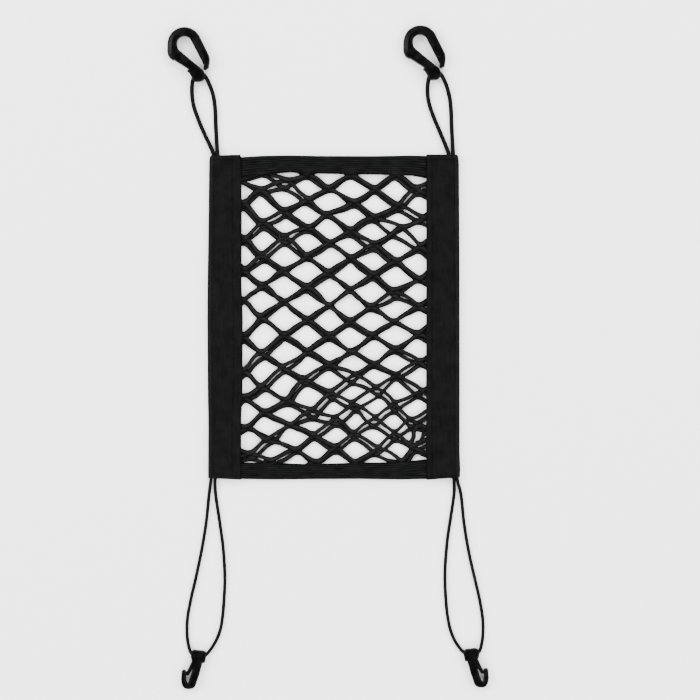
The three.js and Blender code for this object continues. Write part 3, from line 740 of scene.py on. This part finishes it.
def binding_shape(side, turned_in, ends):
    """How a binding's upper leaf stands out and how light it is: hems, turned edge, seams and creases,
    with a painted highlight on the fold and painted shade in the crease, along the edges, at the steps and
    at the ends.
    """
    def relief(along, distance, width):
        to_end = min(ends[1] - along, along - ends[0])
        hem = area("hem", to_end, HEM) + area("hem_end", to_end)
        double = area("turned_in", distance, turned_in) * smoothstep(distance, 0, 0.6)
        wave = PUCKER.height * math.sin(2 * math.pi * along / STITCH.pitch)
        stitched = wave * bell(distance, SEAM, PUCKER.reach)
        seam = line("seam", distance, SEAM) + line("edge_seam", distance, turned_in)
        crease = line("crease", distance, width)
        over_band = area("over_band", abs(along), BAND_EDGE)
        soft = ripple("folds", along, distance, side) + ripple("wrinkles", along, distance, side)
        return hem + line("hem_seam", to_end, HEM) + double + stitched + seam + crease + over_band + soft

    # Painted highlight on the fold; painted shade in the crease, along the edges, at the steps of the turned
    # edge and hem, and at the ends; the worn end's patches are wear
    def tone(along, distance, width):
        to_end = min(ends[1] - along, along - ends[0])
        fold = line("tone_fold_highlight", distance, width) + line("tone_crease_shade", distance, width)
        edge = area("tone_edge_shade", distance) + line("tone_turned_in_step_shade", distance, turned_in)
        hem = area("tone_end_shade", to_end) + line("tone_hem_step_shade", to_end, HEM)
        patchy = np.clip(0.4 + ripple("wear", along, distance, side), 0, 1)
        return fold + edge + hem + line("tone_worn_end", to_end) * patchy

    return relief, tone


def band_shape(knots):
    """How a band's upper leaf stands out and how light it is: ribs, bent round the knots under its edge,
    with painted shade in the grooves, along the stitched edge and at the fold, and a painted highlight on
    the pressed ribs.
    """
    def phase(along, distance, width):
        beside = sum(bell(along, x, PRESS.along) for x in knots)
        press = beside * bell(distance, PRESS.middle, PRESS.across)
        drift = ripple("rib_drift", along, distance) * smoothstep(distance, 0, 3)
        return press, RIB.count * distance / width - PRESS.bend * press + drift

    def relief(along, distance, width):
        press, ribs = phase(along, distance, width)
        ridge = RIB.height * np.abs(np.cos(math.pi * ribs)) ** RIB.power
        return ridge + RIB.base + PRESS.height * press + ripple("band_folds", along, distance)

    # Painted shade in the grooves, along the stitched edge and at the fold, and a painted highlight on the
    # pressed ribs; the patches are uneven tone
    def tone(along, distance, width):
        press, ribs = phase(along, distance, width)
        groove = 1 - np.abs(np.cos(math.pi * ribs)) ** RIB_SHADE_AND_TONE.power
        patches = ripple("rib_patches", along * RIB_SHADE_AND_TONE.stretch, distance)
        pressed = PRESS.tone * press * (1 - groove)
        edge = RIB_SHADE_AND_TONE.edge * (1 - smoothstep(distance, 0, 1.2))
        fold = RIB_SHADE_AND_TONE.fold * smoothstep(distance, width - 0.2, width + 0.4)
        return RIB_SHADE_AND_TONE.base + RIB_SHADE_AND_TONE.groove * groove + patches + pressed + (edge + fold)

    return relief, tone


def stitch(points):
    """Sections of a stitch along a few points, dipping into the cloth at both ends."""
    way = points[-1] - points[0]
    way /= np.linalg.norm(way)
    side = np.array([-way[1], way[0], 0])
    side /= np.linalg.norm(side)
    up = np.cross(way, side)
    share = np.linspace(-1, 1, len(points))
    angle = np.linspace(0, 2 * math.pi, STITCH.sides, endpoint=False)
    radius = STITCH.radius * (1 - STITCH.taper * share ** 4)
    ring = np.cos(angle)[:, None] * side + np.sin(angle)[:, None] * up
    dip = -STITCH.dip * STITCH.radius * share[:, None] ** 2 * np.array([0, 0, 1.0])
    return (points + dip)[:, None] + radius[:, None, None] * ring, angle * STITCH.radius


def stitch_row(parts, strip, start, end):
    """Stitches on a strip between two places, each a share of its length and a distance across it."""
    total = math.hypot((end[0] - start[0]) * strip.length, end[1] - start[1])
    count = int(total / STITCH.pitch)
    half = STITCH.length / total / 2
    lift = STITCH.radius * STITCH.proud
    for i in range(count):
        middle = (i + 0.5) / count
        out_of_step = STITCH.uneven * math.sin(STITCH.uneven_phase * i)
        out_of_line = STITCH.drift * math.sin(STITCH.drift_phase * i)
        points = []
        for t in np.linspace(middle - half, middle + half, STITCH.steps):
            share = start[0] + (end[0] - start[0]) * t + out_of_step
            distance = start[1] + (end[1] - start[1]) * t + out_of_line
            points.append(strip.point(share, distance, lift))
        rings, around = stitch(np.array(points))
        parts.sweep(rings, np.linspace(0, STITCH.length, len(points)), around)


def stitching(strip, rows, thread, slot):
    """The stitches of some rows, each from start to end, as one piece."""
    seams = Parts()
    for start, end in rows:
        stitch_row(seams, strip, start, end)
    return seams.piece(strip.node + "_stitches", thread, slot)


def binding(node, side, material, thread):
    ends = np.sort(cad_corners(node)[:, 1])[[0, -1]]
    relief, tone = binding_shape(side, TURNED_IN[side], ends)
    strip = Strip(node, side, BINDING, relief, tone)
    cloth = strip.piece(node + "_cloth", material, "binding")
    width = float(strip.lines(0.5)[4])
    start, end = BINDING.seam
    hem = (HEM - HEM_SEAM) / strip.length
    inner, outer = HEM_SEAM_ENDS[0], width - HEM_SEAM_ENDS[1]
    rows = [
        ((start, SEAM), (end, SEAM)),
        ((hem, inner), (hem, outer)),
        ((1 - hem, inner), (1 - hem, outer)),
    ]
    stitches = stitching(strip, rows, thread, "binding")


def band(node, side, material, thread):
    row = 0 if side > 0 else NET.rows - 1
    knots = [knot(column, row, FRONT)[0] for column in range(1, NET.columns, 2)]
    relief, tone = band_shape(knots)
    strip = Strip(node, side, BAND, relief, tone, BAND_TUCKED)
    cloth = strip.piece(node + "_ribbed", material, "band")
    start, end = BAND.seam
    stitches = stitching(strip, [((start, BAND_SEAM), (end, BAND_SEAM))], thread, "band")
    width = float(np.mean(strip.lines(np.linspace(0.1, 0.9, 9))[4]))


# ---- Hooks ----

VOXEL = 0.34  # size of the even mesh, which is then smoothed this many times
SMOOTHINGS = 6
WALL = (0.13, 0.22)  # between these shares of the height, corners show the walls' outline
STEEP = 0.5  # if their normals rise less than this
FOOT_BLEND = 0.6  # half the length in which the chamfer begins
# How deep a hook's edges are rounded, and how wide and deep the chamfer along its spine is. spine is the way
# that side faces, and foot how far up the hook it begins, as a share of the length.
SNAP_SHAPE = Sizes(round=1.3, chamfer=4.2, drop=1.9, spine=(-0.94, 0.34), foot=0.42)
CLIP_SHAPE = Sizes(round=0.9, chamfer=1.6, drop=0.6, spine=(0.97, -0.25), foot=0.0)


def remeshed(node):
    """A CAD node's shape in an even mesh with softened edges: its corners, normals and polygons."""
    copy = add(node + "_copy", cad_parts[node].data.copy())
    remesh = copy.modifiers.new("remesh", "REMESH")
    remesh.mode = "VOXEL"
    remesh.voxel_size = VOXEL * MM
    smooth = copy.modifiers.new("smooth", "SMOOTH")
    smooth.factor = 0.5
    smooth.iterations = SMOOTHINGS
    graph = bpy.context.evaluated_depsgraph_get()
    shape = bpy.data.meshes.new_from_object(copy.evaluated_get(graph))
    bpy.data.objects.remove(copy)
    corners = np.array([corner.co for corner in shape.vertices]) / MM
    normals = np.array([corner.normal for corner in shape.vertices])
    return corners, normals, [list(polygon.vertices) for polygon in shape.polygons]


def wall_outline(corners, normals, top):
    """The walls' corners, to be searched from above, and the way that each of them faces."""
    low, high = WALL
    wall = (corners[:, 2] > low * top) & (corners[:, 2] < high * top) & (np.abs(normals[:, 2]) < STEEP)
    tree = KDTree(int(wall.sum()))
    for i, index in enumerate(np.flatnonzero(wall)):
        tree.insert((*corners[index, :2], 0), i)
    tree.balance()
    return tree, normals[wall, :2]


def hook(node, shape, mirror, material):
    """A hook as moulded: both faces rounded off to the walls, and the spine chamfered."""
    corners, normals, faces = remeshed(node)
    top = corners[:, 2].max()
    foot = corners[:, 1].min() + shape.foot * np.ptp(corners[:, 1])
    on_spine = smoothstep(corners[:, 1], foot - FOOT_BLEND, foot + FOOT_BLEND)
    tree, facing = wall_outline(corners, normals, top)
    spine = np.array([mirror * shape.spine[0], shape.spine[1]])
    result = corners.copy()
    for i, (x, y, z) in enumerate(corners):
        _, nearest, distance = tree.find((x, y, 0))
        faces_spine = max(0.0, float(facing[nearest] @ spine)) ** 2
        fall = shape.round * 0.5 * max(0.0, 1 - distance / shape.round) ** 2
        slope = on_spine[i] * faces_spine * shape.drop * max(0.0, 1 - distance / shape.chamfer)
        from_middle = abs(2 * z / top - 1)
        share = max(0.0, (from_middle - 0.5) * 2)
        if z > top / 2:
            result[i, 2] -= (fall + slope) * share
        else:
            result[i, 2] += fall * share
    piece = mesh_piece(node + "_moulding", result, faces, result[:, :2], material)
    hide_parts(node)
    return piece


# ---- Materials ----

# name: roughness, specular, and the grey and the colour that the surface varies between
LOOKS = {
    "binding_cloth": (0.95, 0.01, 0.0014, (0.0064, 0.0064, 0.0063)),
    "band_elastic": (0.9, 0.015, 0.0004, (0.0092, 0.0095, 0.0094)),
    "net_braid": (0.9, 0.015, 0.0005, (0.02, 0.02, 0.02)),
    "cord_cover": (0.6, 0.03, 0.0004, (0.0042, 0.0042, 0.0042)),
    "sewing_thread": (0.6, 0.03, 0.002, (0.008, 0.008, 0.008)),
    "hook_plastic": (0.36, 0.06, 0.0002, (0.0009, 0.0009, 0.0009)),
}


class Look:
    """A material, and short ways to add the nodes of its surface."""

    def __init__(self, name):
        roughness, specular, self.dark, self.light = LOOKS[name]
        self.material = bpy.data.materials.new(name)
        self.material.use_nodes = True
        self.nodes = self.material.node_tree.nodes
        self.links = self.material.node_tree.links
        self.shader = self.nodes["Principled BSDF"]
        self.shader.inputs["Roughness"].default_value = roughness
        self.shader.inputs["Specular IOR Level"].default_value = specular

    def feed(self, socket, value):
        if isinstance(value, bpy.types.NodeSocket):
            self.links.new(value, socket)
        else:
            socket.default_value = value

    def node(self, kind, inputs):
        """The output of a new node, its named inputs fed with values or outputs."""
        node = self.nodes.new("ShaderNode" + kind)
        for name, value in inputs.items():
            self.feed(node.inputs[name], value)
        return node.outputs[0]

    def math(self, operation, *values):
        node = self.nodes.new("ShaderNodeMath")
        node.operation = operation
        for socket, value in zip(node.inputs, values):
            self.feed(socket, value)
        return node.outputs[0]

    def scaled(self, value, by, plus=None):
        if plus is None:
            return self.math("MULTIPLY", value, by)
        return self.math("MULTIPLY_ADD", value, by, plus)

    def added(self, a, b):
        return self.math("ADD", a, b)

    def wave(self, value, pitch):
        """A sine along value, with pitch in millimetres."""
        return self.math("SINE", self.scaled(value, 2 * math.pi / (pitch * MM)))

    def half(self, wave):
        """A wave brought to between 0 and 1."""
        return self.scaled(wave, 0.5, 0.5)

    def weave_axes(self):
        """How far along a piece and how far across it a point is, in metres."""
        node = self.nodes.new("ShaderNodeUVMap")
        node.uv_map = "weave"
        split = self.nodes.new("ShaderNodeSeparateXYZ")
        self.links.new(node.outputs[0], split.inputs[0])
        return split.outputs[0], split.outputs[1], node.outputs[0]

    def tone(self):
        node = self.nodes.new("ShaderNodeAttribute")
        node.attribute_name = "tone"
        return node.outputs["Fac"]

    def stretched(self, vector, along, across):
        return self.node("Mapping", {"Vector": vector, "Scale": (along, across, 1)})

    def noise(self, size, detail=2, vector=None):
        """Smooth noise whose bumps are about size millimetres across."""
        if vector is None:
            vector = self.nodes.new("ShaderNodeTexCoord").outputs["Object"]
        return self.node("TexNoise", {"Vector": vector, "Scale": 1 / (size * MM), "Detail": detail})

    def ramp(self, value, start=0.35, end=0.7):
        return self.node("MapRange", {"Value": value, "From Min": start, "From Max": end})

    def mixed(self, *shares):
        """The sum of some outputs, each times its share."""
        total = None
        for value, share in shares:
            total = self.scaled(value, share, total)
        return total

    def colour(self, share):
        node = self.nodes.new("ShaderNodeMix")
        node.data_type = "RGBA"
        self.feed(node.inputs["Factor"], share)
        node.inputs["A"].default_value = (self.dark, self.dark, self.dark, 1)
        node.inputs["B"].default_value = (*self.light, 1)
        self.feed(self.shader.inputs["Base Color"], node.outputs["Result"])

    def roughness(self, share, low, high):
        rough = self.node("MapRange", {"Value": share, "To Min": low, "To Max": high})
        self.feed(self.shader.inputs["Roughness"], rough)

    def bump(self, height, depth):
        bumps = self.node("Bump", {"Strength": 1, "Distance": depth * MM, "Height": height})
        self.feed(self.shader.inputs["Normal"], bumps)


def binding_look():
    """Flat plain-woven tape, its threads crossed by the weft, a little fuzzy and uneven."""
    look = Look("binding_cloth")
    along, across, vector = look.weave_axes()
    threads = look.half(look.scaled(look.wave(along, pitch=1.1), look.wave(across, pitch=1.3)))
    streaks = look.noise(size=0.9, vector=look.stretched(vector, 0.06, 1))
    blotches = look.noise(size=9, detail=4)
    fuzz = look.noise(size=0.7)
    look.colour(look.mixed(
        (look.ramp(blotches), 0.3),
        (threads, 0.22),
        (look.ramp(streaks), 0.28),
        (look.ramp(fuzz, 0.4, 0.75), 0.3),
        # The tone attribute: painted highlight and shade at the fold, crease, edges, steps and ends, with
        # patchy wear
        (look.tone(), 0.55),
    ))
    look.bump(look.added(look.scaled(threads, 0.6), look.scaled(fuzz, 0.6)), depth=0.16)
    return look.material


def band_look():
    """Ribbed elastic: threads along each rib, bound by a close crosswise weft."""
    look = Look("band_elastic")
    along, across, vector = look.weave_axes()
    weft = look.half(look.wave(along, pitch=0.9))
    twill = look.wave(look.scaled(across, 0.7, along), pitch=1.9)
    streaks = look.noise(size=0.8, vector=look.stretched(vector, 0.05, 1))
    fuzz = look.noise(size=0.7)
    look.colour(look.mixed(
        (look.ramp(streaks), 0.34),
        (weft, 0.24),
        (look.ramp(fuzz, 0.4, 0.75), 0.36),
        # The tone attribute: painted shade in the rib grooves, at the edge and the fold, a painted highlight
        # on the pressed ribs, and uneven patches
        (look.tone(), 0.45),
    ))
    look.bump(look.scaled(twill, 0.25, look.added(weft, fuzz)), depth=0.14)
    return look.material


def net_look():
    """Flat braid whose chevrons meet in the middle, speckled with painted glints, and painted darker at its
    edges than along its middle, as shade.
    """
    look = Look("net_braid")
    along, across, _ = look.weave_axes()
    folded = look.math("ABSOLUTE", across)
    chevron = look.half(look.wave(look.added(along, folded), pitch=1.35))
    # Painted shade: darker towards the strand's edges than along its middle
    middle = look.math("SUBTRACT", 1, look.ramp(folded, 0.6 * MM, 1.5 * MM))
    # Painted glints, speckled over the strand; in the bump, fine relief
    glint_speckle = look.ramp(look.noise(size=0.55), 0.45, 0.72)
    patches = look.ramp(look.noise(size=5))
    light = look.mixed((glint_speckle, 0.5), (chevron, 0.26), (patches, 0.2))
    look.colour(look.scaled(light, look.scaled(middle, 0.7, 0.3)))
    look.bump(look.added(chevron, look.scaled(glint_speckle, 0.4)), depth=0.13)
    return look.material


def cord_look():
    """Braided cover, its strands crossing both ways round the cord, with a slight sheen."""
    look = Look("cord_cover")
    along, across, _ = look.weave_axes()
    one_way = look.wave(look.added(along, across), pitch=1.3)
    other_way = look.wave(look.math("SUBTRACT", along, across), pitch=1.3)
    braid = look.half(look.scaled(one_way, other_way))
    fuzz = look.noise(size=0.5)
    look.colour(look.mixed((look.ramp(fuzz, 0.4), 0.5), (braid, 0.5)))
    look.roughness(fuzz, low=0.45, high=0.7)
    look.bump(look.added(braid, look.scaled(fuzz, 0.4)), depth=0.12)
    return look.material


def thread_look():
    """Twisted sewing thread, a touch lighter than the cloth it holds."""
    look = Look("sewing_thread")
    along, across, _ = look.weave_axes()
    twist = look.half(look.wave(look.added(along, across), pitch=0.4))
    look.colour(twist)
    look.bump(twist, depth=0.05)
    return look.material


def plastic_look():
    """Black moulded plastic: a fine spark-eroded grain, softly scuffed in places."""
    look = Look("hook_plastic")
    grain = look.noise(size=0.35, detail=3)
    scuffs = look.ramp(look.noise(size=6, detail=5), 0.42, 0.68)
    look.colour(scuffs)
    look.roughness(scuffs, low=0.28, high=0.5)
    look.bump(grain, depth=0.05)
    return look.material


# ---- The scene ----

camera()
floor()
studio()

CLOTH_LOOK = binding_look()
BAND_LOOK = band_look()
NET_LOOK = net_look()
CORD_LOOK = cord_look()
THREAD_LOOK = thread_look()
HOOK_LOOK = plastic_look()

# corner: the hook's shape and which way round it is, and its cord's diameter and route
CORNERS = {
    "top_left": (SNAP_SHAPE, 1, UPPER_CORD, CORD_TOP_LEFT),
    "top_right": (SNAP_SHAPE, 1, UPPER_CORD, CORD_TOP_RIGHT),
    "bottom_left": (CLIP_SHAPE, 1, LOWER_CORD, CORD_BOTTOM_LEFT),
    "bottom_right": (CLIP_SHAPE, -1, LOWER_CORD, CORD_BOTTOM_RIGHT),
}
HOOKS = {
    corner: hook("hook_" + corner, shape, mirror, HOOK_LOOK)
    for corner, (shape, mirror, _, _) in CORNERS.items()
}
for corner, (_, _, diameter, route) in CORNERS.items():
    cord("cord_" + corner, route, diameter, CORD_LOOK)

net_layer("net_front", FRONT, NET_LOOK)
net_layer("net_back", BACK, NET_LOOK)

binding("binding_left", -1, CLOTH_LOOK, THREAD_LOOK)
binding("binding_right", 1, CLOTH_LOOK, THREAD_LOOK)
band("band_top", 1, BAND_LOOK, THREAD_LOOK)
band("band_bottom", -1, BAND_LOOK, THREAD_LOOK)
